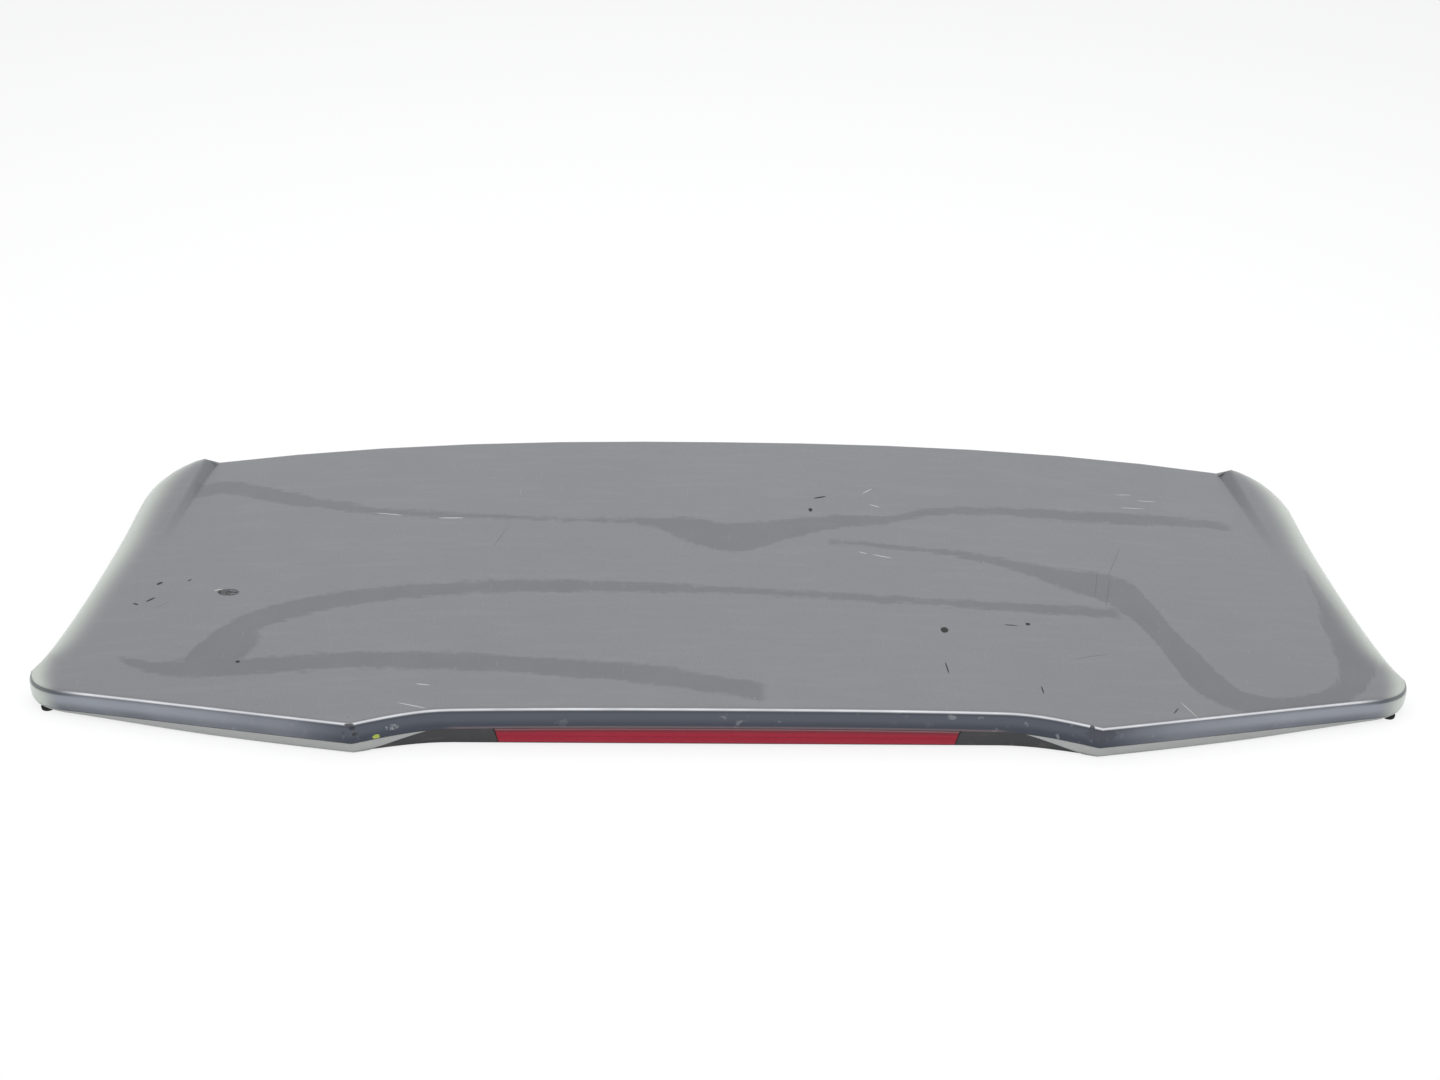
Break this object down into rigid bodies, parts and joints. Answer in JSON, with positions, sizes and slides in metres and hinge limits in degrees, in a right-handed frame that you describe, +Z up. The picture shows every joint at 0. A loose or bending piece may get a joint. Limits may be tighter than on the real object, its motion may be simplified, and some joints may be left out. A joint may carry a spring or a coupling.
{
  "type": "car rear spoiler",
  "caption": "Painted roof spoiler for a car tailgate: crowned top, raised front corners, notched trailing edge over a wide red stop lamp, fixings beneath.",
  "frame": {"origin": "under the middle of the bounding box, on the surface that the part lies on", "axes": "+X across the car from the left corner to the right one seen from behind, +Y towards the front edge, +Z up out of the painted top"},
  "size_m": [1.252, 0.342, 0.1183],
  "materials": {
    "paint": "dark grey metallic paint under clear coat",
    "charcoal_plastic": "fine grained, matt",
    "red_lens": "clear red moulding",
    "foam": "closed-cell foam",
    "black_plastic": "matt",
    "metallised_plastic": "bright metallised",
    "board": "solder resist",
    "diode": "clear resin",
    "terminal_brass": "tinned",
    "zinc_steel": "zinc plated",
    "natural_plastic": "natural nylon",
    "black_rubber": "matt"
  },
  "bodies": {
    "root": {"upper_skin": "paint", "lower_skin": "paint", "lamp_shroud": "charcoal_plastic", "lamp_lens": "red_lens", "lamp_gasket": "foam", "lamp_housing": "black_plastic", "lamp_reflector": "metallised_plastic", "lamp_board": "board", "lamp_leds": "diode", "lamp_resistors": "black_plastic", "lamp_socket": "black_plastic", "lamp_terminals": "terminal_brass", "lamp_screws": "zinc_steel", "shroud_screws": "zinc_steel", "mounting_studs": "zinc_steel", "stud_retainers": "zinc_steel", "stud_seals": "foam", "front_clips": "natural_plastic", "front_seal": "foam", "side_seals": "foam", "harness_grommet": "black_rubber", "corner_buffers": "black_rubber"}
  },
  "joints": []
}
